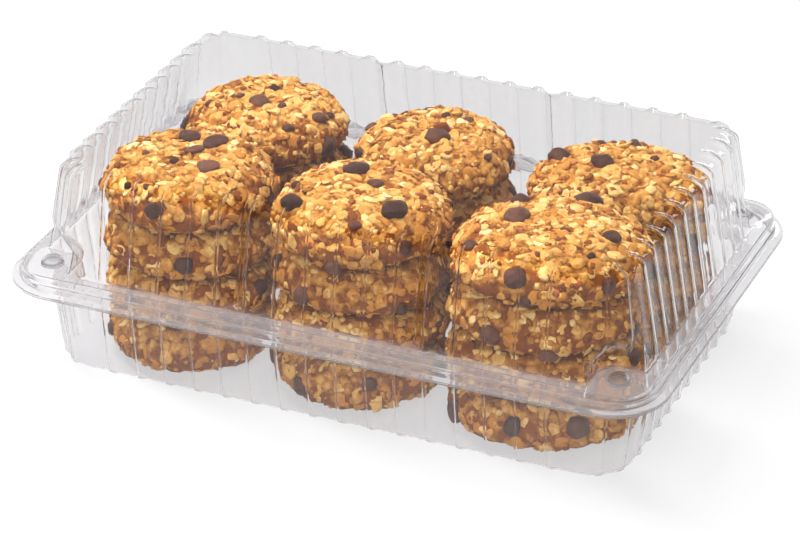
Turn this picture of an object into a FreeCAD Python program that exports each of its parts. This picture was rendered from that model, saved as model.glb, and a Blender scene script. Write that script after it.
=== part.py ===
import FreeCAD, Part
import os
from math import cos, pi, radians, sin

# Clear hinged clamshell pack with six stacks of cookies.
# X runs along the pack, Y from the front to the hinge, Z up from the table.
# The origin is the middle of the underside. Sizes are in millimetres.

# The whole pack
packLength = 280.0
packDepth = 185.0
packHeight = 88.5
sheet = 0.5
nestGap = 0.3

# The stepped rim, measured on the lid: insets run inwards from the lip's edge
lipUnderside = 39.4
stepHeight = 3.0
ledgeHeight = 2.9
stepInset = 3.5
ledgeInset = 5.4
lipCorner = 24.0
stepCorner = 19.0
ledgeCorner = 14.0
rimTop = lipUnderside + stepHeight + ledgeHeight + sheet

# The walls of the dome and of the tray
footInset = 11.3
creaseInset = 18.0
creaseDrop = 3.5
shoulderInset = 22.0
shoulderDrop = 1.0
plateauInset = 27.0
plateauCorner = 8.0
trayBaseInset = 17.0
trayBaseRound = 2.0
footCorner = plateauCorner + plateauInset - footInset

# Upright ribs, and the deeper grooves between the columns of cookies
ribWidth = 4.2
ribTopWidth = 2.6
ribHeight = 1.2
ribsPerColumn = 6
ribsPerEnd = 10
columnPitch = 76.0
grooveWidth = 8.0
grooveDepth = 4.0

# Corner pads with their snap buttons
padSize = 18.0
padRound = 8.0
lidPadHeight = 9.0
trayPadDepth = 7.0
padSlope = 1.0
buttonInset = 7.2
buttonBase = 4.8
buttonTop = 3.3
buttonHeight = 2.8

# Cookies, from the bottom of a stack to its top
layers = 4
frontThickness = 21.3
backThickness = 19.0
floorGap = 0.3
ovalTurn = 23.0
sides = 16
# A cookie's section: shares of its thickness and of its width
section = ((0.0, 0.84), (0.10, 0.94), (0.28, 1.0), (0.55, 0.965), (0.76, 0.875),
           (0.90, 0.73), (0.97, 0.56), (1.0, 0.38))
# Chips and lumps of oats are low drops: radius, how far they stand out, how deep they sit
chip = {"radius": 4.6, "stand": 1.3, "depth": 3.0}
lump = {"radius": 5.4, "stand": 1.0, "depth": 2.0}
chipsOnSide = 2
lumpsOnSide = 9
lumpsOnTop = 10
goldenTurn = 2.39996

# Each stack: its middle, the half-length and half-width of its cookies, and where the
# larger chips lie on its top one, from the middle
stacks = {
    "front_left": {"x": -78.0, "y": -36.4, "long": 37.0, "wide": 36.6, "thick": frontThickness,
                   "chips": ((-6, 14), (6, 13), (12, -7))},
    "front_middle": {"x": -2.0, "y": -35.6, "long": 38.0, "wide": 37.4, "thick": frontThickness,
                     "chips": ((-8, 13), (-22, -18), (19, -12))},
    "front_right": {"x": 78.4, "y": -35.4, "long": 42.6, "wide": 37.2, "thick": frontThickness,
                    "chips": ((4, 29), (-15, 1), (-20, 17), (25, 0))},
    "back_left": {"x": -77.0, "y": 37.4, "long": 36.0, "wide": 34.6, "thick": backThickness,
                  "chips": ((-2, -4), (26, -5))},
    "back_middle": {"x": -1.0, "y": 38.2, "long": 35.0, "wide": 33.8, "thick": backThickness,
                    "chips": ((3, -6), (-29, 1))},
    "back_right": {"x": 79.0, "y": 38.6, "long": 39.0, "wide": 33.6, "thick": backThickness,
                   "chips": ((-26, 2), (-6, -1))},
}


def vec(x, y, z):
    return FreeCAD.Vector(x, y, z)


def rib_profile(centre, height):
    # Four points along a wall, each with its place and how far it stands out.
    return [(centre - ribWidth / 2, 0.0), (centre - ribTopWidth / 2, height),
            (centre + ribTopWidth / 2, height), (centre + ribWidth / 2, 0.0)]


def long_side(height, groove):
    # Ribs in three columns, with a groove at each boundary between them.
    pitch = columnPitch / ribsPerColumn
    straight = packLength / 2 - footInset - footCorner
    outerRibs = int((straight - columnPitch / 2) / pitch)
    reach = min(grooveWidth, pitch - ribWidth) / 2
    marks = []
    for k in range(-outerRibs, ribsPerColumn + outerRibs):
        if k in (0, ribsPerColumn):
            edge = (k - ribsPerColumn / 2) * pitch
            marks += [(edge - reach, 0.0), (edge, -groove), (edge + reach, 0.0)]
        marks += rib_profile((k - (ribsPerColumn - 1) / 2) * pitch, height)
    return marks


def short_side(height):
    pitch = (packDepth - 2 * footInset - 2 * footCorner) / ribsPerEnd
    marks = []
    for k in range(ribsPerEnd):
        marks += rib_profile((k - (ribsPerEnd - 1) / 2) * pitch, height)
    return marks


def corner_arc(radius, height):
    # Two ribs on the quarter turn, as points about the corner's virtual tip.
    turn = ribWidth / footCorner
    flat = ribTopWidth / footCorner
    points = [(radius, 0.0)]
    for angle in (pi / 6, pi / 3):
        for shift, lift in ((-turn / 2, 0), (-flat / 2, height), (flat / 2, height), (turn / 2, 0)):
            a = angle + shift
            points.append((radius - (radius + lift) * sin(a), radius - (radius + lift) * cos(a)))
    points.append((0.0, radius))
    return points


def corner_notch(radius, count):
    # The same number of points along the inward step of a corner pad.
    run = max(radius - padSize, 0.5)
    side = padSize - padRound
    arc = padRound * pi / 2
    length = 2 * run + 2 * side + arc
    points = []
    for k in range(count):
        s = length * k / (count - 1)
        m = min(s, length - s)
        if m < run:
            a, b = padSize + run - m, 0.0
        elif m < run + side:
            a, b = padSize, m - run
        else:
            t = (s - run - side) / padRound
            points.append((side + padRound * cos(t), side + padRound * sin(t)))
            continue
        points.append((a, b) if s < length / 2 else (b, a))
    return points


def ribbed_ring(z, inset, height, groove, pad=False):
    # One closed outline of a wall at one height, ribs and corners included.
    halfX = packLength / 2 - inset
    halfY = packDepth / 2 - inset
    radius = plateauCorner + plateauInset - inset
    front = long_side(height, groove)
    end = short_side(height)
    arc = corner_arc(radius, height)
    if pad:
        arc = corner_notch(radius, len(arc))
    points = [vec(x, -halfY - out, z) for x, out in front]
    points += [vec(halfX - a, -halfY + b, z) for a, b in arc]
    points += [vec(halfX + out, y, z) for y, out in end]
    points += [vec(halfX - a, halfY - b, z) for a, b in reversed(arc)]
    points += [vec(-x, halfY + out, z) for x, out in front]
    points += [vec(-halfX + a, halfY - b, z) for a, b in arc]
    points += [vec(-halfX - out, -y, z) for y, out in end]
    points += [vec(-halfX + a, -halfY + b, z) for a, b in reversed(arc)]
    return Part.makePolygon(points + points[:1])


def rounded_block(inset, corner, low, high):
    # An upright block with the pack's plan, drawn in by an inset.
    x = packLength / 2 - inset
    y = packDepth / 2 - inset
    r = corner
    s = r * (1 - cos(pi / 4))
    line = lambda a, b: Part.LineSegment(vec(*a, low), vec(*b, low)).toShape()
    bend = lambda a, b, c: Part.Arc(vec(*a, low), vec(*b, low), vec(*c, low)).toShape()
    edges = [line((-x + r, -y), (x - r, -y)), bend((x - r, -y), (x - s, -y + s), (x, -y + r)),
             line((x, -y + r), (x, y - r)), bend((x, y - r), (x - s, y - s), (x - r, y)),
             line((x - r, y), (-x + r, y)), bend((-x + r, y), (-x + s, y - s), (-x, y - r)),
             line((-x, y - r), (-x, -y + r)), bend((-x, -y + r), (-x + s, -y + s), (-x + r, -y))]
    return Part.Face(Part.Wire(edges)).extrude(vec(0, 0, high - low))


def rim(drop, draw):
    # The stepped rim of one sheet. The tray's is the lid's, dropped and drawn in.
    lip = lipUnderside - drop
    step = lip + stepHeight
    top = step + ledgeHeight
    levels = ((0.0, lipCorner, lip, lip + sheet),
              (stepInset + draw, stepCorner - draw, lip, step + sheet),
              (ledgeInset + draw, ledgeCorner - draw, lip, top + sheet))
    body = rounded_block(*levels[0])
    for level in levels[1:]:
        body = body.fuse(rounded_block(*level))
    for inset, corner, low, high in levels[1:]:
        body = body.cut(rounded_block(inset + sheet, corner - sheet, low - sheet, high - sheet))
    return body, top + sheet


def button_places():
    x = packLength / 2 - footInset - buttonInset
    y = packDepth / 2 - footInset - buttonInset
    return [(sx * x, sy * y) for sx in (-1, 1) for sy in (-1, 1)]


def add_buttons(body, top, draw):
    # Hollow round studs stand up from the four pads.
    for x, y in button_places():
        low = top - sheet
        stud = Part.makeCone(buttonBase - draw, buttonTop - draw, buttonHeight + sheet, vec(x, y, low))
        hollow = Part.makeCone(buttonBase - draw - sheet, buttonTop - draw - sheet, buttonHeight,
                               vec(x, y, low))
        body = body.fuse(stud).cut(hollow)
    return body


def wall_inset(z):
    # How far the dome's wall has leaned in at a height.
    crease = packHeight - creaseDrop
    return footInset + (creaseInset - footInset) * (z - rimTop) / (crease - rimTop)


def make_lid():
    body, top = rim(0.0, 0.0)
    crease = packHeight - creaseDrop
    roof = top + lidPadHeight

    def rings(t, lift):
        # The outer face has t and lift at nought, the inner face a sheet further in.
        return [ribbed_ring(packHeight - lift, plateauInset + t, 0.0, 0.0),
                ribbed_ring(packHeight - shoulderDrop - lift, shoulderInset + t, ribHeight / 2,
                            grooveDepth),
                ribbed_ring(crease - lift, creaseInset + t, ribHeight, grooveDepth),
                ribbed_ring(roof + padSlope - lift, wall_inset(roof + padSlope) + t, ribHeight,
                            grooveDepth),
                ribbed_ring(roof - lift, wall_inset(roof) + t, ribHeight, grooveDepth, pad=True),
                ribbed_ring(top - sheet + lift / 2, footInset + t, ribHeight, grooveDepth, pad=True)]

    outer = rings(0.0, 0.0)
    inner = rings(sheet, sheet)
    dome = Part.makeLoft(outer + inner[::-1], True, True)
    hole = ribbed_ring(top - 2 * sheet, footInset + sheet / 2, ribHeight, grooveDepth, pad=True)
    hole = Part.Face(hole).extrude(vec(0, 0, 3 * sheet))
    body = body.cut(hole).fuse(dome)
    return add_buttons(body, top, 0.0)


def make_tray():
    draw = sheet + nestGap
    body, top = rim(draw, draw)
    roof = top - trayPadDepth

    def inset_at(z):
        return trayBaseInset + (footInset - trayBaseInset) * z / top

    def rings(t, lift):
        return [ribbed_ring(lift, trayBaseInset + trayBaseRound + t, 0.0, 0.0),
                ribbed_ring(trayBaseRound + lift, inset_at(trayBaseRound) + t, ribHeight, 0.0),
                ribbed_ring(roof - padSlope + lift, inset_at(roof - padSlope) + t, ribHeight, 0.0),
                ribbed_ring(roof + lift, inset_at(roof) + t, ribHeight / 2, 0.0, pad=True),
                ribbed_ring(top - sheet / 2 + lift / 2, footInset + t, 0.0, 0.0, pad=True)]

    outer = rings(0.0, 0.0)
    inner = rings(sheet, sheet)
    wall = Part.makeLoft(outer + inner[::-1], True, True)
    hole = ribbed_ring(top - 2 * sheet, footInset + sheet / 2, 0.0, 0.0, pad=True)
    hole = Part.Face(hole).extrude(vec(0, 0, 3 * sheet))
    body = body.cut(hole).fuse(wall)
    return add_buttons(body, top, draw)


def skin_point(stack, share, turn, seed, z):
    # A point of an uneven oval, turned so that its length follows the long axis.
    wobble = 1 + 0.012 * sin(3 * turn + seed) + 0.010 * sin(5 * turn + 2.3 * seed) - 0.050
    u = share * wobble * stack["long"] * cos(turn)
    v = share * wobble * stack["wide"] * sin(turn)
    t = radians(ovalTurn)
    return vec(stack["x"] + u * cos(t) - v * sin(t), stack["y"] + u * sin(t) + v * cos(t), z)


def ring_points(stack, z, share, seed):
    return [skin_point(stack, share, 2 * pi * k / sides, seed, z) for k in range(sides)]


def polygon_face(points):
    return Part.Face(Part.makePolygon(points + points[:1]))


def faceted(rings):
    # A closed solid of flat triangles between rings of points, with a flat face at each end.
    faces = [polygon_face(rings[0]), polygon_face(rings[-1])]
    for low, high in zip(rings, rings[1:]):
        for k in range(len(low)):
            faces.append(polygon_face([low[k - 1], low[k], high[k]]))
            faces.append(polygon_face([low[k - 1], high[k], high[k - 1]]))
    solid = Part.makeSolid(Part.makeShell(faces))
    if solid.Volume < 0:
        solid.reverse()
    return solid


def width_at(height):
    # The section's share of the width at a share of the thickness.
    for (lowHeight, lowWidth), (highHeight, highWidth) in zip(section, section[1:]):
        if height <= highHeight:
            return lowWidth + (highWidth - lowWidth) * (height - lowHeight) / (highHeight - lowHeight)
    return section[-1][1]


def crown_at(width):
    # The height of the domed top at a share of the width.
    for (lowHeight, lowWidth), (highHeight, highWidth) in zip(section[2:], section[3:]):
        if width >= highWidth:
            return lowHeight + (highHeight - lowHeight) * (width - lowWidth) / (highWidth - lowWidth)
    return 1.0


def drop(place, outward, kind):
    # A low six-sided drop, mostly sunk in the dough.
    turn = FreeCAD.Rotation(vec(0, 0, 1), outward)
    rings = []
    for radius, height in ((kind["radius"], -kind["depth"]), (kind["radius"], 0.0),
                           (kind["radius"] * 0.6, kind["stand"])):
        rings.append([place + turn.multVec(vec(radius * cos(k * pi / 3), radius * sin(k * pi / 3), height))
                      for k in range(6)])
    return faceted(rings)


def side_drop(stack, low, height, turn, seed, kind):
    place = skin_point(stack, width_at(height), turn, seed, low + height * stack["thick"])
    out = vec(place.x - stack["x"], place.y - stack["y"], 0)
    out.normalize()
    out.z = height - section[2][0]
    return drop(place, out, kind)


def top_drop(stack, low, place, kind):
    # A drop on the domed top, where its X and Y say.
    away = vec(place.x - stack["x"], place.y - stack["y"], 0)
    place.z = low + crown_at(away.Length / stack["wide"]) * stack["thick"]
    away.z = 4 * stack["wide"]
    return drop(place, away, kind)


def make_cookie(stack, layer, seed):
    low = sheet + floorGap + layer * stack["thick"]
    rings = [ring_points(stack, low + height * stack["thick"], share, seed) for height, share in section]
    drops = []
    for k in range(lumpsOnSide):
        height = 0.32 + 0.36 * (k * 0.618 % 1)
        drops.append(side_drop(stack, low, height, k * goldenTurn + seed, seed, lump))
    for k in range(chipsOnSide):
        drops.append(side_drop(stack, low, 0.42 + 0.16 * k, 1.7 * seed + 2.6 * k, seed, chip))
    if layer == layers - 1:
        for k in range(lumpsOnTop):
            share = 0.74 * ((k + 0.5) / lumpsOnTop) ** 0.5
            drops.append(top_drop(stack, low, skin_point(stack, share, k * goldenTurn + 2 * seed, seed, 0), lump))
        for x, y in stack["chips"]:
            drops.append(top_drop(stack, low, vec(stack["x"] + x, stack["y"] + y, 0), chip))
    return faceted(rings).fuse(drops).removeSplitter()


os.makedirs("parts", exist_ok=True)
make_tray().exportStep("parts/tray.step")
make_lid().exportStep("parts/lid.step")
for number, (name, stack) in enumerate(stacks.items()):
    for layer in range(layers):
        cookie = make_cookie(stack, layer, number * 1.3 + layer * 2.1)
        cookie.exportStep("parts/cookie_%s_%d.step" % (name, layer + 1))
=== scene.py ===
import random
from math import atan2, cos, hypot, pi, radians, sin

import bmesh
import bpy
from mathutils import Matrix, Vector, noise
from mathutils.kdtree import KDTree


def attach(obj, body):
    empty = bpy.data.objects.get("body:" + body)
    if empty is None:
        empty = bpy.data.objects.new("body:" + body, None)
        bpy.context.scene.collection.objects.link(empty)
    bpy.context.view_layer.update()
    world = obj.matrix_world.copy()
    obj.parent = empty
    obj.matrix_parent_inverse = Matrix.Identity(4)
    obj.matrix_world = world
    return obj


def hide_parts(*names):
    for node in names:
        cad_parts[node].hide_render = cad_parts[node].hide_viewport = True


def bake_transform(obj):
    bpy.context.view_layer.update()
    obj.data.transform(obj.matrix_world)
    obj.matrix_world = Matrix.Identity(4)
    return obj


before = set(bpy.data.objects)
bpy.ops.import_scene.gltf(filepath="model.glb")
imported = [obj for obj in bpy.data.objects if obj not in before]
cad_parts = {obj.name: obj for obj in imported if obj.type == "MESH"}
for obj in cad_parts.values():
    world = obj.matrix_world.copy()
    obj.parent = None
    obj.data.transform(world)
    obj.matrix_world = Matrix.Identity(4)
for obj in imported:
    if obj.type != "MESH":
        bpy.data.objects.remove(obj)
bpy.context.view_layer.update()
noise.seed_set(1)  # without it, the noise's vectors go by the clock
print("frame loaded")

mm = 0.001


def newObject(name, bm, materials, body):
    mesh = bpy.data.meshes.new(name)
    bm.to_mesh(mesh)
    bm.free()
    mesh.shade_smooth()
    for material in materials:
        mesh.materials.append(material)
    obj = bpy.data.objects.new(name, mesh)
    bpy.context.scene.collection.objects.link(obj)
    if body:
        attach(obj, body)
    return obj


# Materials

def newMaterial(name):
    material = bpy.data.materials.new(name)
    material.use_nodes = True
    nodes = material.node_tree.nodes
    return material, nodes, material.node_tree.links, nodes["Principled BSDF"]


plasticLook = {
    "roughness": 0.02, "ior": 1.33,
    "waveScale": 45.0, "waveDetail": 1.0, "waveStrength": 0.12, "waveHeight": 0.001,
    "edge": 0.35, "tint": (0.950, 0.947, 0.952, 1), "edgeTint": (0.70, 0.69, 0.705, 1),
    "lightTint": (0.97, 0.97, 0.975, 1), "deepFrom": 7.0,
}
# Stops are heights in millimetres, each with the share of the light that the bloom scatters. The first two
# are the ends of the ramp.
bloom = {
    "top": 0.1, "color": (0.93, 0.91, 0.92, 1),
    "stops": ((0.0, 0.018), (100.0, 0.0), (37.5, 0.018), (39.0, 0.04), (45.5, 0.04), (48.0, 0.0)),
}


def clearPlastic():
    material, nodes, links, shader = newMaterial("clearPlastic")
    shader.inputs["Roughness"].default_value = plasticLook["roughness"]
    shader.inputs["IOR"].default_value = plasticLook["ior"]
    shader.inputs["Transmission Weight"].default_value = 1.0
    # A faint waviness of the drawn sheet
    place = nodes.new("ShaderNodeTexCoord")
    wave = nodes.new("ShaderNodeTexNoise")
    wave.inputs["Scale"].default_value = plasticLook["waveScale"]
    wave.inputs["Detail"].default_value = plasticLook["waveDetail"]
    bump = nodes.new("ShaderNodeBump")
    bump.inputs["Strength"].default_value = plasticLook["waveStrength"]
    bump.inputs["Distance"].default_value = plasticLook["waveHeight"]
    links.new(place.outputs["Object"], wave.inputs["Vector"])
    links.new(wave.outputs["Fac"], bump.inputs["Height"])
    links.new(bump.outputs["Normal"], shader.inputs["Normal"])
    # The sheet is greyer where it is seen on edge: partly the longer path through it, partly a painted
    # reflection of darker surroundings
    edge = nodes.new("ShaderNodeLayerWeight")
    edge.inputs["Blend"].default_value = plasticLook["edge"]
    tint = nodes.new("ShaderNodeMix")
    tint.data_type = "RGBA"
    tint.inputs["A"].default_value = plasticLook["tint"]
    tint.inputs["B"].default_value = plasticLook["edgeTint"]
    links.new(edge.outputs["Facing"], tint.inputs["Factor"])
    links.new(tint.outputs["Result"], shader.inputs["Base Color"])
    # A milky bloom, strongest where the rim was stretched in steps and weaker on the tray's walls
    split = nodes.new("ShaderNodeSeparateXYZ")
    height = nodes.new("ShaderNodeMapRange")
    height.inputs["From Max"].default_value = bloom["top"]
    ramp = nodes.new("ShaderNodeValToRGB")
    stops = ramp.color_ramp.elements
    for k, (z, share) in enumerate(bloom["stops"]):
        stop = stops[k] if k < 2 else stops.new(z * mm / bloom["top"])
        stop.color = (share, share, share, 1)
    milk = nodes.new("ShaderNodeBsdfDiffuse")
    milk.inputs["Color"].default_value = bloom["color"]
    bloomed = nodes.new("ShaderNodeMixShader")
    links.new(place.outputs["Object"], split.inputs["Vector"])
    links.new(split.outputs["Z"], height.inputs["Value"])
    links.new(height.outputs["Result"], ramp.inputs["Fac"])
    links.new(ramp.outputs["Color"], bloomed.inputs["Fac"])
    links.new(shader.outputs["BSDF"], bloomed.inputs[1])
    links.new(milk.outputs["BSDF"], bloomed.inputs[2])
    # Light passes through to what is inside, and so does a ray that has turned many times
    path = nodes.new("ShaderNodeLightPath")
    clear = nodes.new("ShaderNodeBsdfTransparent")
    clear.inputs["Color"].default_value = plasticLook["lightTint"]
    either = nodes.new("ShaderNodeMath")
    either.operation = "MAXIMUM"
    deep = nodes.new("ShaderNodeMath")
    deep.operation = "GREATER_THAN"
    deep.inputs[1].default_value = plasticLook["deepFrom"]
    last = nodes.new("ShaderNodeMath")
    last.operation = "MAXIMUM"
    mix = nodes.new("ShaderNodeMixShader")
    links.new(path.outputs["Is Shadow Ray"], either.inputs[0])
    links.new(path.outputs["Is Diffuse Ray"], either.inputs[1])
    links.new(path.outputs["Ray Depth"], deep.inputs[0])
    links.new(either.outputs[0], last.inputs[0])
    links.new(deep.outputs[0], last.inputs[1])
    links.new(last.outputs[0], mix.inputs["Fac"])
    links.new(bloomed.outputs["Shader"], mix.inputs[1])
    links.new(clear.outputs["BSDF"], mix.inputs[2])
    links.new(mix.outputs["Shader"], nodes["Material Output"].inputs["Surface"])
    return material


bakedLook = {
    "spotDetail": 6.0, "spotRoughness": 0.65, "darkest": -0.3, "palest": 1.3,
    "steps": (("Mid", 0.55, 0.95), ("Pale", 0.9, 1.4)),
    "grainScale": 520.0, "grainDetail": 6.0, "grainRoughness": 0.7, "grainHeight": 0.0016, "gloss": 0.25,
}


def makeBakedTone():
    # Shades of a baked surface: a piece's tone, which holds its own colour and painted shade, spots over it,
    # and a fine crumbly relief
    group = bpy.data.node_groups.new("bakedTone", "ShaderNodeTree")
    for label, kind in (("Pale", "NodeSocketColor"), ("Mid", "NodeSocketColor"), ("Dark", "NodeSocketColor"),
                        ("Spot Scale", "NodeSocketFloat"), ("Relief", "NodeSocketFloat")):
        group.interface.new_socket(name=label, in_out="INPUT", socket_type=kind)
    group.interface.new_socket(name="Color", in_out="OUTPUT", socket_type="NodeSocketColor")
    group.interface.new_socket(name="Normal", in_out="OUTPUT", socket_type="NodeSocketVector")
    nodes, links = group.nodes, group.links
    given = nodes.new("NodeGroupInput")
    result = nodes.new("NodeGroupOutput")
    place = nodes.new("ShaderNodeTexCoord")
    tone = nodes.new("ShaderNodeAttribute")
    tone.attribute_name = "tone"
    spots = nodes.new("ShaderNodeTexNoise")
    spots.inputs["Detail"].default_value = bakedLook["spotDetail"]
    spots.inputs["Roughness"].default_value = bakedLook["spotRoughness"]
    links.new(place.outputs["Object"], spots.inputs["Vector"])
    links.new(given.outputs["Spot Scale"], spots.inputs["Scale"])
    shade = nodes.new("ShaderNodeMath")
    shade.operation = "ADD"
    contrast = nodes.new("ShaderNodeMapRange")
    contrast.clamp = False
    contrast.inputs["To Min"].default_value = bakedLook["darkest"]
    contrast.inputs["To Max"].default_value = bakedLook["palest"]
    links.new(spots.outputs["Fac"], contrast.inputs["Value"])
    links.new(contrast.outputs["Result"], shade.inputs[0])
    links.new(tone.outputs["Fac"], shade.inputs[1])
    color = given.outputs["Dark"]
    for label, low, high in bakedLook["steps"]:
        step = nodes.new("ShaderNodeMapRange")
        step.inputs["From Min"].default_value = low
        step.inputs["From Max"].default_value = high
        links.new(shade.outputs[0], step.inputs["Value"])
        blend = nodes.new("ShaderNodeMix")
        blend.data_type = "RGBA"
        links.new(step.outputs["Result"], blend.inputs["Factor"])
        links.new(color, blend.inputs["A"])
        links.new(given.outputs[label], blend.inputs["B"])
        color = blend.outputs["Result"]
    links.new(color, result.inputs["Color"])
    grain = nodes.new("ShaderNodeTexNoise")
    grain.inputs["Scale"].default_value = bakedLook["grainScale"]
    grain.inputs["Detail"].default_value = bakedLook["grainDetail"]
    grain.inputs["Roughness"].default_value = bakedLook["grainRoughness"]
    bump = nodes.new("ShaderNodeBump")
    bump.inputs["Distance"].default_value = bakedLook["grainHeight"]
    links.new(place.outputs["Object"], grain.inputs["Vector"])
    links.new(grain.outputs["Fac"], bump.inputs["Height"])
    links.new(given.outputs["Relief"], bump.inputs["Strength"])
    links.new(bump.outputs["Normal"], result.inputs["Normal"])
    return group


bakedTone = makeBakedTone()


def bakedMaterial(name, pale, mid, dark, spotScale, relief, roughness):
    material, nodes, links, shader = newMaterial(name)
    group = nodes.new("ShaderNodeGroup")
    group.node_tree = bakedTone
    group.inputs["Pale"].default_value = (*pale, 1)
    group.inputs["Mid"].default_value = (*mid, 1)
    group.inputs["Dark"].default_value = (*dark, 1)
    group.inputs["Spot Scale"].default_value = spotScale
    group.inputs["Relief"].default_value = relief
    links.new(group.outputs["Color"], shader.inputs["Base Color"])
    links.new(group.outputs["Normal"], shader.inputs["Normal"])
    shader.inputs["Roughness"].default_value = roughness
    shader.inputs["Specular IOR Level"].default_value = bakedLook["gloss"]
    return material


# Each material: its pale, mid and dark shade, the scale of its spots, its relief and its roughness
cookieLooks = {
    "dough": ((0.90, 0.55, 0.18), (0.74, 0.35, 0.065), (0.27, 0.070, 0.010), 210.0, 0.8, 0.65),
    "oatFlake": ((0.97, 0.74, 0.36), (0.86, 0.52, 0.15), (0.58, 0.23, 0.035), 260.0, 0.6, 0.55),
    "chocolate": ((0.19, 0.080, 0.050), (0.105, 0.040, 0.024), (0.042, 0.016, 0.010), 120.0, 0.2, 0.42),
    "nut": ((0.58, 0.20, 0.07), (0.40, 0.11, 0.035), (0.18, 0.05, 0.016), 200.0, 0.4, 0.5),
}

plastic = clearPlastic()
cookieMaterials = [bakedMaterial(name, *look) for name, look in cookieLooks.items()]
print("materials made")


# The two clear sheets. Insets are from the lip's edge, in millimetres.

pack = {
    "length": 280.0, "depth": 185.0, "sheet": 0.5,
    "straightX": 105.0, "straightY": 57.5, "wallCorner": 35.0,
    "ledgeCorner": 14.0, "stepCorner": 19.0, "lipCorner": 24.0,
}
# "points" are where an outline is sampled across a rib or a groove
ribs = {
    "foot": 2.5, "top": 0.85, "height": 0.9, "perColumn": 6, "perSide": 16, "perEnd": 10, "column": 76.0,
    "corner": (1 / 3, 2 / 3), "points": (-4.6, -2.5, -2.1, -1.7, -1.3, -0.8, 0.8, 1.3, 1.7, 2.1, 2.5, 4.6),
}
grooves = {
    "places": (-38.0, 38.0), "half": 4.0, "depth": 4.0, "flank": 1.2,
    "points": (-3.6, -2.4, -1.2, 0, 1.2, 2.4, 3.6),
}
pads = {"size": 18.0, "round": 8.0}
cornerSteps = 44
sideMargin = 0.2
studs = {"x": 121.5, "y": 74.0, "foot": 4.8, "top": 3.3, "height": 2.8, "sides": 32,
         "round": 1.6, "roundSteps": 4}
scratch = bpy.data.meshes.new("scratch")


def evenly(count, pitch):
    return [(k - (count - 1) / 2) * pitch for k in range(count)]


sideRibs = evenly(ribs["perSide"], ribs["column"] / ribs["perColumn"])
endRibs = evenly(ribs["perEnd"], 2 * pack["straightY"] / ribs["perEnd"])


def ribShape(distance):
    # A flat top with round flanks: 1 on the rib and 0 beside it
    s = (ribs["foot"] - abs(distance)) / (ribs["foot"] - ribs["top"])
    s = max(0.0, min(1.0, s))
    return s * s * (3 - 2 * s)


def grooveShape(distance):
    return max(0.0, 1 - abs(distance) / grooves["half"]) ** grooves["flank"]


def sidePoints(centres, grooveCentres, half):
    # Places along a straight side, each with its share of rib and of groove
    places = {round(c + d, 3) for c in centres for d in ribs["points"]}
    places |= {round(c + d, 3) for c in grooveCentres for d in grooves["points"]}
    places = sorted(p for p in places if abs(p) < half - sideMargin)
    return [(p, sum(ribShape(p - c) for c in centres), sum(grooveShape(p - c) for c in grooveCentres))
            for p in places]


sidePlaces = sidePoints(sideRibs, grooves["places"], pack["straightX"])
endPlaces = sidePoints(endRibs, [], pack["straightY"])


def cornerPoint(t, reach, radius, pad):
    # From one side to the next, as distances from the square corner, with the outward direction
    run = reach - radius
    arc = radius * pi / 2
    s = t * (2 * run + arc)
    if s < run:
        point, outward = (reach - s, 0.0), (0.0, -1.0)
    elif s > run + arc:
        point, outward = (0.0, radius + s - run - arc), (-1.0, 0.0)
    else:
        q = (s - run) / radius
        outward = (-sin(q), -cos(q))
        point = (radius * (1 + outward[0]), radius * (1 + outward[1]))
    if pad:
        side = pads["size"] - pads["round"]
        first = reach - pads["size"]
        length = 2 * (first + side) + pads["round"] * pi / 2
        s = t * length
        m = min(s, length - s)
        if m < first:
            notch = (reach - m, 0.0)
        elif m < first + side:
            notch = (pads["size"], m - first)
        else:
            q = (m - first - side) / pads["round"]
            notch = (side + pads["round"] * cos(q), side + pads["round"] * sin(q))
        if s > length / 2:
            notch = (notch[1], notch[0])
        point = (point[0] + (notch[0] - point[0]) * pad, point[1] + (notch[1] - point[1]) * pad)
    return point, outward


def outline(z, inset, corner=None, rib=0.0, rise=0.0, groove=0.0, pad=0.0):
    # One closed outline of a sheet, from above anticlockwise
    x = pack["length"] / 2 - inset
    y = pack["depth"] / 2 - inset
    reach = pack["wallCorner"] - inset
    radius = corner or reach
    turn = []
    for k in range(cornerSteps + 1):
        t = k / cornerSteps
        (a, b), (outA, outB) = cornerPoint(t, reach, radius, pad)
        share = sum(ribShape((t - c) * radius * pi / 2) for c in ribs["corner"])
        turn.append((a + outA * share * rib, b + outB * share * rib, share))
    side = [(p, rib * r - groove * g, r - g) for p, r, g in sidePlaces]
    end = [(p, rib * r - groove * g, r) for p, r, g in endPlaces]
    points = [(p, -y - o, r) for p, o, r in side] + [(x - a, -y + b, r) for a, b, r in turn]
    points += [(x + o, p, r) for p, o, r in end] + [(x - a, y - b, r) for a, b, r in reversed(turn)]
    points += [(-p, y + o, r) for p, o, r in side] + [(-x + a, y - b, r) for a, b, r in turn]
    points += [(-x - o, -p, r) for p, o, r in end] + [(-x + a, -y + b, r) for a, b, r in reversed(turn)]
    return [Vector((px, py, z + rise * r)) * mm for px, py, r in points]


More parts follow.
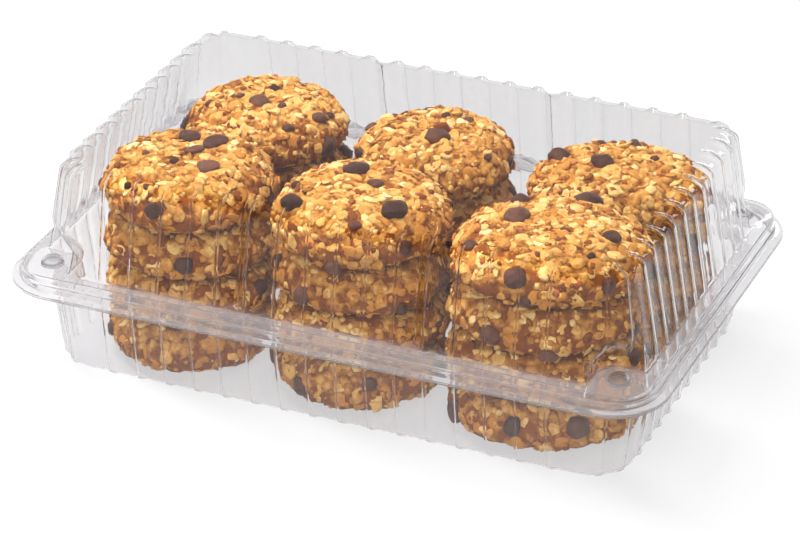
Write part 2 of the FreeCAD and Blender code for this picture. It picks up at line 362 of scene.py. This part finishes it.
def drawSheet(levels, up):
    # The first outline is closed by a flat face, and each next one is drawn out from the last
    bm = bmesh.new()
    rings = [outline(**level) for level in levels]
    verts = bmesh.ops.create_circle(bm, cap_ends=True, segments=len(rings[0]), radius=1.0)["verts"]
    for vert, point in zip(verts, rings[0]):
        vert.co = point
    order = {vert: k for k, vert in enumerate(verts)}
    edges = bm.edges[:]
    for ring in rings[1:]:
        made = bmesh.ops.extrude_edge_only(bm, edges=edges)["geom"]
        fresh = {g for g in made if isinstance(g, bmesh.types.BMVert)}
        nextOrder = {}
        for vert in fresh:
            below = next(o for o in (e.other_vert(vert) for e in vert.link_edges) if o not in fresh)
            nextOrder[vert] = order[below]
            vert.co = ring[order[below]]
        order = nextOrder
        edges = [g for g in made if isinstance(g, bmesh.types.BMEdge) and g.is_boundary]
    bmesh.ops.recalc_face_normals(bm, faces=bm.faces)
    cap = max(bm.faces, key=lambda f: len(f.verts))
    if cap.normal.z * up < 0:
        bmesh.ops.reverse_faces(bm, faces=bm.faces)
    return bm


def addStuds(bm, foot):
    # A hollow round stud on each corner pad
    for x in (-studs["x"], studs["x"]):
        for y in (-studs["y"], studs["y"]):
            stud = bmesh.new()
            bmesh.ops.create_cone(stud, cap_ends=True, segments=studs["sides"], radius1=studs["foot"],
                                  radius2=studs["top"], depth=studs["height"])
            bottom = min(stud.faces, key=lambda f: f.calc_center_median().z)
            bmesh.ops.delete(stud, geom=[bottom], context="FACES_ONLY")
            crown = max(stud.faces, key=lambda f: f.calc_center_median().z)
            bmesh.ops.bevel(stud, geom=crown.edges[:], offset=studs["round"], segments=studs["roundSteps"],
                            profile=0.5, affect="EDGES")
            bmesh.ops.translate(stud, vec=(x, y, foot + studs["height"] / 2), verts=stud.verts)
            bmesh.ops.scale(stud, vec=(mm, mm, mm), verts=stud.verts)
            stud.to_mesh(scratch)
            stud.free()
            bm.from_mesh(scratch)


def addWall(obj):
    wall = obj.modifiers.new("wall", "SOLIDIFY")
    wall.thickness = pack["sheet"] * mm
    wall.offset = -1.0


def level(z, inset, **more):
    return {"z": z, "inset": inset, **more}


def wallLevels(heights, inset, slope, foot, **more):
    return [level(z, inset + (z - foot) * slope, **more) for z in heights]


# The sections, as heights above the table with insets. The shoulder's rows also hold the share of the ribs,
# their rise and the depth of the grooves, the foot's rows the same without the rise, and the rows of "pads"
# how far a corner pad has come out of the wall.
lidSection = {
    "top": ((88.5, 27.4, 0.0), (88.46, 26.4, 0.03)),
    "shoulder": ((88.2, 25.0, 0.1, 0.28, 0.0), (87.85, 23.5, 0.25, 0.6, 0.5), (87.4, 22.0, 0.45, 0.9, 1.6),
                 (86.75, 20.7, 0.7, 0.8, 2.8), (86.0, 19.5, 0.9, 0.6, 3.5), (85.3, 18.6, 1.0, 0.45, 4.0),
                 (84.4, 18.05, 1.1, 0.2, 4.0)),
    "wall": {"inset": 11.3, "slope": 6.7 / 38.7, "foot": 46.3, "rib": ribs["height"],
             "groove": grooves["depth"]},
    "heights": (82.5, 80.0, 72.0, 64.0),
    "pads": ((62.0, 0.02), (60.0, 0.08), (58.0, 0.2), (56.0, 0.36), (54.0, 0.55), (52.0, 0.76), (50.4, 0.93),
             (49.0, 1.0)),
    "foot": ((47.0, 11.42, ribs["height"], 3.6), (46.4, 11.25, 0.9, 2.6), (45.95, 10.9, 0.5, 1.2),
             (45.8, 10.3, 0.0, 0.0)),
    "ledge": ((45.8, 6.0), (45.65, 5.55), (45.2, 5.4), (43.5, 5.3)),
    "step": ((43.05, 5.1), (42.9, 4.7), (42.9, 4.0), (42.75, 3.6), (42.3, 3.5), (40.6, 3.45)),
    "lip": ((40.1, 3.25), (39.9, 2.8), (39.9, 0.5), (39.9, 0.12), (39.9, 0.0)),
    "studs": 45.8,
}
traySection = {
    "base": ((0.0, 19.3, 0.0), (0.12, 18.4, 0.3), (0.6, 17.6, 0.8), (1.4, 17.12, 1.1)),
    "wall": {"inset": 17.0, "slope": -5.7 / 42.0, "foot": 2.0, "rib": ribs["height"]},
    "heights": (2.6, 14.0, 26.0, 36.2),
    "pads": ((36.8, 0.04), (37.3, 0.2), (37.7, 0.5), (38.1, 0.8), (38.5, 0.96), (39.0, 1.0), (42.2, 1.0)),
    "foot": ((43.2, 11.4, 0.8, 0.0), (43.9, 11.25, 0.5, 0.0), (44.35, 10.9, 0.2, 0.0),
             (44.5, 10.3, 0.0, 0.0)),
    "ledge": ((44.5, 7.3), (44.35, 6.85), (43.9, 6.7), (42.2, 6.65)),
    "step": ((41.75, 6.4), (41.6, 6.0), (41.6, 5.3), (41.45, 4.9), (41.0, 4.8), (39.3, 4.75)),
    "lip": ((38.8, 4.55), (38.6, 4.1), (38.6, 0.5), (38.6, 0.12), (38.6, 0.0)),
    "studs": 44.5,
}


def rimLevels(shape):
    # The wall with its pads, then the foot, the ledge, the step and the lip
    levels = wallLevels(shape["heights"], **shape["wall"])
    for z, pad in shape["pads"]:
        levels += wallLevels((z,), pad=pad, **shape["wall"])
    for z, inset, rib, groove in shape["foot"]:
        levels.append(level(z, inset, rib=rib, groove=groove, pad=1.0))
    for part in ("ledge", "step", "lip"):
        levels += [level(z, inset, corner=pack[part + "Corner"]) for z, inset in shape[part]]
    return levels


def makeShell(name, levels, up, studFoot, body):
    sheet = drawSheet(levels, up)
    addStuds(sheet, studFoot)
    obj = newObject(name, sheet, [plastic], body)
    addWall(obj)
    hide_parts(body)


def makeLid():
    levels = [level(z, inset, rise=rise) for z, inset, rise in lidSection["top"]]
    # The shoulder, where the ribs run out on to the flat top
    for z, inset, rib, rise, groove in lidSection["shoulder"]:
        levels.append(level(z, inset, rib=rib, rise=rise, groove=groove))
    makeShell("lidShell", levels + rimLevels(lidSection), 1, lidSection["studs"], "lid")


def makeTray():
    levels = [level(z, inset, rib=rib) for z, inset, rib in traySection["base"]]
    makeShell("trayShell", levels + rimLevels(traySection), -1, traySection["studs"], "tray")


film = {"half": 116.0, "y": 92.25, "thick": 0.4, "low": 38.7, "high": 39.8, "rows": 8, "hold": 0.2}


def makeFilm():
    # The film that joins the two lips along the back, drawn as a straight strip in rows; the real film creases
    # and folds as the lid turns
    bm = bmesh.new()
    bmesh.ops.create_cube(bm, size=1.0)
    upright = [e for e in bm.edges if abs(e.verts[0].co.z - e.verts[1].co.z) > 0.5]
    bmesh.ops.subdivide_edges(bm, edges=upright, cuts=film["rows"] - 1, use_grid_fill=True)
    tall = film["high"] - film["low"]
    bmesh.ops.scale(bm, vec=(2 * film["half"] * mm, film["thick"] * mm, tall * mm), verts=bm.verts)
    bmesh.ops.translate(bm, vec=(0, film["y"] * mm, (film["low"] + tall / 2) * mm), verts=bm.verts)
    obj = newObject("hingeFilm", bm, [plastic], None)
    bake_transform(obj)


makeLid()
makeTray()
makeFilm()
print("sheets drawn")


# The cookies

cookies = {
    "front_left": {"x": -78.0, "y": -36.4, "long": 37.0, "wide": 36.6, "thick": 21.3, "seed": 0},
    "front_middle": {"x": -2.0, "y": -35.6, "long": 38.0, "wide": 37.4, "thick": 21.3, "seed": 1},
    "front_right": {"x": 78.4, "y": -35.4, "long": 42.6, "wide": 37.2, "thick": 21.3, "seed": 2},
    "back_left": {"x": -77.0, "y": 37.4, "long": 36.0, "wide": 34.6, "thick": 19.0, "seed": 3},
    "back_middle": {"x": -1.0, "y": 38.2, "long": 35.0, "wide": 33.8, "thick": 19.0, "seed": 4},
    "back_right": {"x": 79.0, "y": 38.6, "long": 39.0, "wide": 33.6, "thick": 19.0, "seed": 5},
}
# Chips on top of each stack: away from its middle in X and Y, and across
topChips = {
    "front_left": ((-6, 14, 10), (6, 13, 11), (12, -7, 10), (-2, -8, 5), (-15, -7, 4), (-14, -26, 4),
                   (-5, -27, 4)),
    "front_middle": ((-8, 13, 12), (-22, -18, 10), (19, -12, 11), (4, 5, 7), (8, -26, 6), (-16, 31, 4),
                     (-26, -6, 4)),
    "front_right": ((4, 29, 12), (-15, 1, 11), (-20, 17, 9), (-26, 19, 5), (25, 0, 8), (-2, -33, 11),
                    (-25, -22, 6), (7, -4, 4), (22, -15, 4)),
    "back_left": ((-2, -4, 10), (-11, -3, 4), (9, -5, 4), (26, -5, 7), (27, 3, 4), (-1, 10, 5), (17, -17, 6),
                  (-22, -10, 4)),
    "back_middle": ((3, -6, 11), (-29, 1, 6), (-23, 12, 4), (-1, 14, 4), (9, 15, 5), (27, -9, 4)),
    "back_right": ((-26, 2, 10), (-6, -1, 10), (-1, 23, 6), (-14, 19, 4), (-20, 20, 4), (-33, -9, 4),
                   (12, 11, 4)),
}
# The lid presses down by "give" what stands higher than "press"
bake = {"turn": radians(23.0), "floor": 0.8, "layers": 4, "goldenTurn": 2.39996, "press": 86.0, "give": 0.58}
faceKinds = {"dough": 0, "oat": 1, "chip": 2, "nut": 3}
# A cookie's section, as shares of its thickness and of its width
section = ((0.0, 0.0), (0.0, 0.45), (0.0, 0.84), (0.10, 0.94), (0.28, 1.0), (0.55, 0.965), (0.76, 0.875),
           (0.90, 0.73), (0.97, 0.56), (1.0, 0.38), (1.0, 0.0))
# How far the section's corners are rounded, along its length
softCorner = (-2.4, -1.2, 0, 1.2, 2.4)
# The outline's unevenness: three and five waves round the edge, and how far it lies in for the relief
wobble = {"three": 0.012, "five": 0.010, "fiveTurn": 2.3, "inset": 0.050}
lump = {"side": 9, "top": 10, "radius": 6.0, "stand": 1.0, "low": 0.32, "range": 0.36, "widest": 0.28,
        "taper": 0.25, "topReach": 0.74, "topHeight": 0.97}
# The skin's relief: scales and heights of oat clusters, single oats and swells, in millimetres, and how far
# the cells are warped
skinLook = {"cluster": 0.115, "clusterHeight": 1.1, "crack": 2.4, "oat": 0.30, "oatHeight": 0.7,
            "oatEdge": 1.5, "swell": 0.09, "swellHeight": 0.5, "warp": 0.2, "warpBy": 1.6, "base": -1.1}
# The skin's tone: what clusters, oats and chance add, with the cracks between clusters darker, partly as the
# dough's own colour and partly as painted shade, and the painted shade taken off near a cookie's foot, under
# the next cookie and on its side
skinTone = {"base": 0.06, "cluster": 0.35, "oat": 0.35, "chance": 0.1, "scale": 0.06, "foot": 0.14,
            "footBy": 4, "under": 0.80, "underBy": 5, "side": 0.3}
# The skin's grid and grains. Of two values, the first is for a lower cookie and the second for a top one. Gaps
# are in millimetres, the limits of the skin in shares of a cookie's height and width.
rings = (36, 64)
sides = (100, 160)
grains = {
    "low": 0.07, "high": (0.88, 2.0), "inner": 0.6, "flakes": (170, 340), "flakeGap": 3.2,
    "crumbs": (200, 400), "crumbGap": 1.5, "chips": 5, "chipGap": 18.0, "chipSlope": 0.6, "chipReach": 4.4,
    "topReach": 0.62, "topSlope": 0.2, "tries": 5, "paintedSideShade": 0.34,
}


def sectionAt(share, stack):
    # A point of the section at a share of its length, with soft corners
    points = [Vector((width * stack["wide"], height * stack["thick"])) for height, width in section]
    steps = [(b - a).length for a, b in zip(points, points[1:])]
    total = Vector((0, 0))
    for away in softCorner:
        s = max(0.0, min(sum(steps), share * sum(steps) + away))
        for a, b, step in zip(points, points[1:], steps):
            if s <= step:
                break
            s -= step
        total += a.lerp(b, min(1.0, s / step))
    return total / len(softCorner)


def ovalPoint(stack, layer, seed, width, height, turn):
    uneven = 1 + wobble["three"] * sin(3 * turn + seed)
    uneven += wobble["five"] * sin(5 * turn + wobble["fiveTurn"] * seed)
    uneven -= wobble["inset"]
    x = stack["long"] * width * uneven * cos(turn)
    y = stack["wide"] * width * uneven * sin(turn)
    x, y = x * cos(bake["turn"]) - y * sin(bake["turn"]), x * sin(bake["turn"]) + y * cos(bake["turn"])
    return Vector((stack["x"] + x, stack["y"] + y, bake["floor"] + stack["thick"] * layer + height))


def lumpPlaces(stack, layer, seed):
    # The larger lumps, spread by the golden turn round the side and, on the top cookie, over the top
    places = []
    for k in range(lump["side"]):
        height = lump["low"] + lump["range"] * (k * 0.618 % 1)
        width = 1.0 - lump["taper"] * max(0.0, height - lump["widest"])
        turn = k * bake["goldenTurn"] + seed
        places.append(ovalPoint(stack, layer, seed, width, height * stack["thick"], turn))
    if layer == bake["layers"] - 1:
        for k in range(lump["top"]):
            width = lump["topReach"] * ((k + 0.5) / lump["top"]) ** 0.5
            turn = k * bake["goldenTurn"] + 2 * seed
            places.append(ovalPoint(stack, layer, seed, width, lump["topHeight"] * stack["thick"], turn))
    return places


def cookieBody(bm, stack, layer, onTop, toneLayer):
    made = bmesh.ops.create_uvsphere(bm, u_segments=sides[onTop], v_segments=rings[onTop], radius=1.0)
    body = made["verts"]
    seed = stack["seed"] * 1.3 + layer * 2.1
    sections = {}
    for vert in body:
        d = vert.co.copy()
        share = round(0.5 + atan2(d.z, hypot(d.x, d.y)) / pi, 4)
        if share not in sections:
            sections[share] = sectionAt(share, stack)
        width, height = sections[share]
        if hypot(d.x, d.y) < 0.001:
            width = 0.0  # the poles, which have no direction of their own
        vert.co = ovalPoint(stack, layer, seed, width / stack["wide"], height, atan2(d.y, d.x))
    bm.normal_update()
    places = lumpPlaces(stack, layer, seed)
    lumps = KDTree(len(places))
    for k, spot in enumerate(places):
        lumps.insert(spot, k)
    lumps.balance()
    shift = Vector((seed * 7, seed * 3, layer * 5))
    for vert in body:
        p = vert.co
        near = lumps.find(p)[2] / lump["radius"]
        rise = lump["stand"] * max(0.0, 1 - near * near) ** 2
        # Clusters of oats with deep cracks between them, and single oats over them
        warp = p + noise.noise_vector(p * skinLook["warp"] + shift) * skinLook["warpBy"]
        cells = noise.voronoi(warp * skinLook["cluster"] + shift)[0]
        cluster = min(1.0, (cells[1] - cells[0]) * skinLook["crack"])
        cells = noise.voronoi(warp * skinLook["oat"] + shift)[0]
        oat = 1 - min(1.0, cells[0] * skinLook["oatEdge"])
        rise += skinLook["base"] + cluster * skinLook["clusterHeight"] + oat * skinLook["oatHeight"]
        rise += noise.noise(p * skinLook["swell"] + shift) * skinLook["swellHeight"]
        vert.co = p + vert.normal * rise
        share = (p.z - bake["floor"]) / stack["thick"] - layer
        # Painted shade: the tone is lowered near the cookie's foot, under the next cookie and on its steeper
        # sides, where shade falls
        paintedShade = max(0.0, skinTone["foot"] - share) * skinTone["footBy"]
        if not onTop:
            paintedShade += max(0.0, share - skinTone["under"]) * skinTone["underBy"]
        paintedShade += skinTone["side"] * (1 - max(0.0, vert.normal.z))
        # Clusters and oats are paler, and the cracks between the clusters darker: partly the dough's own
        # colour, partly painted shade
        tone = skinTone["base"] + skinTone["cluster"] * cluster + skinTone["oat"] * oat
        tone += skinTone["chance"] * noise.noise(p * skinTone["scale"])
        vert[toneLayer] = tone - paintedShade
    bmesh.ops.scale(bm, vec=(mm, mm, mm), verts=body)
    bm.normal_update()


def seat(bm, grain, at, normal, rng, tilt, sink, kind, tone):
    # Lay a small piece on the skin: its own z along the skin's normal, tilted a little
    lean = Vector((rng.uniform(-tilt, tilt), rng.uniform(-tilt, tilt), 1.0))
    turn = normal.to_track_quat("Z", "Y") @ lean.to_track_quat("Z", "Y")
    spin = Matrix.Rotation(rng.uniform(0, 2 * pi), 4, "Z")
    where = Matrix.Translation(at - normal * sink * mm) @ turn.to_matrix().to_4x4() @ spin
    bmesh.ops.transform(grain, matrix=where @ Matrix.Scale(mm, 4), verts=grain.verts)
    toneLayer = grain.verts.layers.float.new("tone")
    for vert in grain.verts:
        vert[toneLayer] = tone
    for face in grain.faces:
        face.material_index = faceKinds[kind]
    grain.to_mesh(scratch)
    grain.free()
    bm.from_mesh(scratch)


def ball(detail):
    grain = bmesh.new()
    bmesh.ops.create_icosphere(grain, subdivisions=detail, radius=0.5)
    return grain


# Sizes in millimetres: a range, or a range with its most common value
flake = {"size": (3.6, 8.8, 5.4), "wide": (0.6, 0.92), "thick": (0.7, 1.1), "cup": (-0.9, 1.6),
         "fold": (-1.6, 1.6), "ragged": 0.5, "raggedScale": 3.5, "bevel": 1.14, "flat": 1.42,
         "middle": 0.12, "tilt": 0.2, "sink": (-0.1, 0.5), "tone": (-0.2, 0.85, 0.35),
         "kinds": {"oat": 7, "dough": 3}}
crumb = {"size": (1.4, 3.8), "uneven": 0.7, "scale": 4, "flat": 0.7, "tilt": 0.5, "tone": (0.0, 0.8),
         "kinds": {"dough": 6, "oat": 4, "nut": 1.0}}
chip = {"size": (5.0, 9.5), "wide": (0.82, 1.0), "tall": 0.66, "uneven": 0.22, "scale": 2.2, "tilt": 0.2,
        "sink": 0.1, "tone": (0.0, 0.6), "large": 8}


def drawKind(kinds, rng):
    return rng.choices(list(kinds), weights=list(kinds.values()))[0]


def addFlake(bm, at, normal, rng, shade):
    # A rolled oat: a thin, cupped oval with a flat face, a bevelled rim and an uneven edge
    grain = bmesh.new()
    bmesh.ops.create_uvsphere(grain, u_segments=9, v_segments=4, radius=0.5)
    size = rng.triangular(*flake["size"])
    wide = size * rng.uniform(*flake["wide"])
    thick = rng.uniform(*flake["thick"])
    cup = rng.uniform(*flake["cup"])
    fold = rng.uniform(*flake["fold"])
    shift = Vector((rng.uniform(0, 50), 0, 0))
    for vert in grain.verts:
        x, y, z = vert.co
        ragged = 1 + flake["ragged"] * noise.noise(Vector((x, y, 0)) * flake["raggedScale"] + shift)
        if abs(z) > 0.1:
            ragged *= flake["bevel"]
        flat = max(-0.5, min(0.5, z * flake["flat"]))
        bent = cup * (x * x + y * y - flake["middle"]) + fold * x * y
        vert.co = Vector((x * size * ragged, y * wide * ragged, flat * thick + bent))
    sink = rng.uniform(*flake["sink"])
    kind = drawKind(flake["kinds"], rng)
    # Its tone, less the painted shade given for the sides
    seat(bm, grain, at, normal, rng, flake["tilt"], sink, kind, rng.triangular(*flake["tone"]) - shade)


def addCrumb(bm, at, normal, rng, shade):
    grain = ball(1)
    size = rng.uniform(*crumb["size"])
    shift = Vector((rng.uniform(0, 50), 0, 0))
    for vert in grain.verts:
        vert.co *= size * (1 + crumb["uneven"] * noise.noise(vert.co * crumb["scale"] + shift))
        vert.co.z *= crumb["flat"]
    kind = drawKind(crumb["kinds"], rng)
    # Its tone, less the painted shade given for the sides
    seat(bm, grain, at, normal, rng, crumb["tilt"], 0.0, kind, rng.uniform(*crumb["tone"]) - shade)


def addChip(bm, at, normal, across, rng, detail):
    grain = ball(detail)
    shift = Vector((rng.uniform(0, 50), 0, 0))
    wide = across * rng.uniform(*chip["wide"])
    for vert in grain.verts:
        x, y, z = vert.co
        lumpy = 1 + chip["uneven"] * noise.noise(vert.co * chip["scale"] + shift)
        vert.co = Vector((x * across, y * wide, z * across * chip["tall"])) * lumpy
    seat(bm, grain, at, normal, rng, chip["tilt"], chip["sink"], "chip", rng.uniform(*chip["tone"]))


def faceOrder(face):
    # The sphere's faces come in no fixed order, but its vertices do
    return sorted(vert.index for vert in face.verts)


def spread(faces, count, gap, rng):
    # Faces of the skin chosen by area, none nearer to another than the gap
    chosen = []
    weights = [f.calc_area() for f in faces]
    for face in rng.choices(faces, weights=weights, k=count * grains["tries"]):
        at = face.calc_center_median()
        if all((at - other).length > gap * mm for other, normal in chosen):
            chosen.append((at, face.normal.copy()))
        if len(chosen) == count:
            break
    return chosen


def skinFaces(bm, stack, layer, onTop):
    # Where grains may lie: not near the underside, and not far in under the next cookie
    middle = Vector((stack["x"], stack["y"])) * mm
    foot = (bake["floor"] + layer * stack["thick"]) * mm
    low = foot + grains["low"] * stack["thick"] * mm
    high = foot + grains["high"][onTop] * stack["thick"] * mm
    skin = []
    for face in bm.faces:
        at = face.calc_center_median()
        if at.z < low or at.z > high:
            continue
        if onTop or (at.xy - middle).length > grains["inner"] * stack["wide"] * mm:
            skin.append(face)
    bm.verts.index_update()
    skin.sort(key=faceOrder)
    return skin


def topPlaces(skin, stack, name):
    middle = Vector((stack["x"], stack["y"])) * mm
    upper = [f for f in skin if f.normal.z > grains["topSlope"]]
    places = []
    for dx, dy, across in topChips[name]:
        target = middle + Vector((dx, dy)) * mm
        face = min(upper, key=lambda f: (f.calc_center_median().xy - target).length)
        places.append((Vector((target.x, target.y, face.calc_center_median().z)), Vector((0, 0, 1)), across))
    return places


def makeCookie(name, stack, layer):
    rng = random.Random(100 * stack["seed"] + layer)
    onTop = layer == bake["layers"] - 1
    bm = bmesh.new()
    toneLayer = bm.verts.layers.float.new("tone")
    cookieBody(bm, stack, layer, onTop, toneLayer)
    skin = skinFaces(bm, stack, layer, onTop)
    flakes = spread(skin, grains["flakes"][onTop], grains["flakeGap"], rng)
    crumbs = spread(skin, grains["crumbs"][onTop], grains["crumbGap"], rng)
    upright = [f for f in skin if abs(f.normal.z) < grains["chipSlope"]]
    chips = spread(upright, grains["chips"], grains["chipGap"], rng)
    top = topPlaces(skin, stack, name) if onTop else []
    clear = [(at, across * grains["topReach"]) for at, normal, across in top]
    clear += [(at, grains["chipReach"]) for at, normal in chips]
    # Flakes and crumbs are painted darker the steeper the skin under them: painted shade on the sides
    for add, places in ((addFlake, flakes), (addCrumb, crumbs)):
        for at, normal in places:
            if all((at - middle).length > reach * mm for middle, reach in clear):
                add(bm, at, normal, rng, grains["paintedSideShade"] * (1 - max(0.0, normal.z)))
    for at, normal in chips:
        addChip(bm, at, normal, rng.uniform(*chip["size"]), rng, 3)
    for at, normal, across in top:
        addChip(bm, at, normal, across, rng, 4 if across > chip["large"] else 3)
    for vert in bm.verts:
        vert.co.z = max(vert.co.z, bake["floor"] * mm)
        over = vert.co.z - bake["press"] * mm
        if over > 0:
            vert.co.z -= bake["give"] * over
    obj = newObject(f"cookie{name.title().replace('_', '')}{layer + 1}", bm, cookieMaterials, "tray")
    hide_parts(f"cookie_{name}_{layer + 1}")


for name, stack in cookies.items():
    for layer in range(bake["layers"]):
        makeCookie(name, stack, layer)
print("cookies baked")


# Floor, world, lamps and camera

stage = {"floorSize": 30.0, "floorColor": (0.17, 0.17, 0.17, 1), "floorBounce": 0.3, "floorGlow": 0.38,
         "floorRoughness": 0.9, "worldLight": 0.3, "whiteTo": 0.12, "dimFrom": 0.35, "aim": (0, 0, 0.05)}


def backdropRays(nodes, links):
    # 1 for rays from the camera, off gloss and through glass
    path = nodes.new("ShaderNodeLightPath")
    total = path.outputs["Is Camera Ray"]
    for label in ("Is Glossy Ray", "Is Transmission Ray"):
        either = nodes.new("ShaderNodeMath")
        either.operation = "MAXIMUM"
        links.new(total, either.inputs[0])
        links.new(path.outputs[label], either.inputs[1])
        total = either.outputs[0]
    return total


def makeFloor():
    bm = bmesh.new()
    bmesh.ops.create_grid(bm, x_segments=1, y_segments=1, size=stage["floorSize"] / 2)
    material, nodes, links, shader = newMaterial("floor")
    shader.inputs["Base Color"].default_value = stage["floorColor"]
    shader.inputs["Roughness"].default_value = stage["floorRoughness"]
    shader.inputs["Specular IOR Level"].default_value = 0.0
    glow = nodes.new("ShaderNodeMath")
    glow.operation = "MULTIPLY_ADD"
    glow.inputs[1].default_value = stage["floorGlow"]
    glow.inputs[2].default_value = stage["floorBounce"]
    links.new(backdropRays(nodes, links), glow.inputs[0])
    links.new(glow.outputs[0], shader.inputs["Emission Strength"])
    shader.inputs["Emission Color"].default_value = (1, 1, 1, 1)
    floor = newObject("floor", bm, [material], None)


def makeWorld():
    # White about the horizon and below it, dimmer above, so that the lid's top stays clear
    world = bpy.data.worlds.new("studio")
    bpy.context.scene.world = world
    world.use_nodes = True
    nodes, links = world.node_tree.nodes, world.node_tree.links
    place = nodes.new("ShaderNodeTexCoord")
    split = nodes.new("ShaderNodeSeparateXYZ")
    dimming = nodes.new("ShaderNodeMapRange")
    dimming.interpolation_type = "SMOOTHSTEP"
    dimming.inputs["From Min"].default_value = stage["whiteTo"]
    dimming.inputs["From Max"].default_value = stage["dimFrom"]
    dimming.inputs["To Min"].default_value = 1.0
    dimming.inputs["To Max"].default_value = stage["worldLight"]
    links.new(place.outputs["Generated"], split.inputs["Vector"])
    links.new(split.outputs["Z"], dimming.inputs["Value"])
    links.new(dimming.outputs["Result"], nodes["Background"].inputs["Strength"])
    nodes["Background"].inputs["Color"].default_value = (1, 1, 1, 1)


# Each lamp: where it hangs, its two sides in metres, its power in watts, and if gloss shows it
lamps = {
    "key": {"at": (-0.45, 0.15, 1.10), "sides": (0.3, 1.6), "power": 28.0, "shown": False},
    "strip": {"at": (-0.45, 0.15, 1.10), "sides": (0.12, 1.6), "power": 8.0, "shown": True},
    "back": {"at": (0.35, 1.10, 0.62), "sides": (1.2, 0.08), "power": 2.5, "shown": True},
    "front": {"at": (0.2, -1.2, 0.9), "sides": (0.9, 0.6), "power": 13.0, "shown": False},
}


def makeLamps():
    for name, lamp in lamps.items():
        light = bpy.data.lights.new(name, "AREA")
        light.shape = "RECTANGLE"
        light.size, light.size_y = lamp["sides"]
        light.energy = lamp["power"]
        obj = bpy.data.objects.new(name, light)
        obj.visible_glossy = lamp["shown"]
        obj.visible_transmission = False
        bpy.context.scene.collection.objects.link(obj)
        at = Vector(lamp["at"])
        away = (at - Vector(stage["aim"])).normalized()
        side = Vector((0, 0, 1)).cross(away).normalized()
        turn = Matrix((side, away.cross(side), away)).transposed().to_4x4()
        obj.matrix_world = Matrix.Translation(at) @ turn


# Where the photo was taken from: the camera's distance and shift in millimetres
view = {"azimuth": radians(22.96), "elevation": radians(28.73), "distance": 1586.4, "right": -0.59,
        "up": 28.11, "lens": 172.4, "sensor": 36.0, "clip": 20.0}


def makeCamera():
    a, e = view["azimuth"], view["elevation"]
    back = Vector((sin(a) * cos(e), -cos(a) * cos(e), sin(e)))
    right = Vector((cos(a), sin(a), 0))
    up = back.cross(right)
    data = bpy.data.cameras.new("camera")
    data.lens = view["lens"]
    data.sensor_width = view["sensor"]
    data.clip_end = view["clip"]
    camera = bpy.data.objects.new("camera", data)
    bpy.context.scene.collection.objects.link(camera)
    turn = Matrix((right, up, back)).transposed().to_4x4()
    at = (right * view["right"] + up * view["up"] + back * view["distance"]) * mm
    camera.matrix_world = Matrix.Translation(at) @ turn
    bpy.context.scene.camera = camera


makeFloor()
makeWorld()
makeLamps()
makeCamera()
bpy.context.scene.view_settings.view_transform = "Standard"
print("stage set")
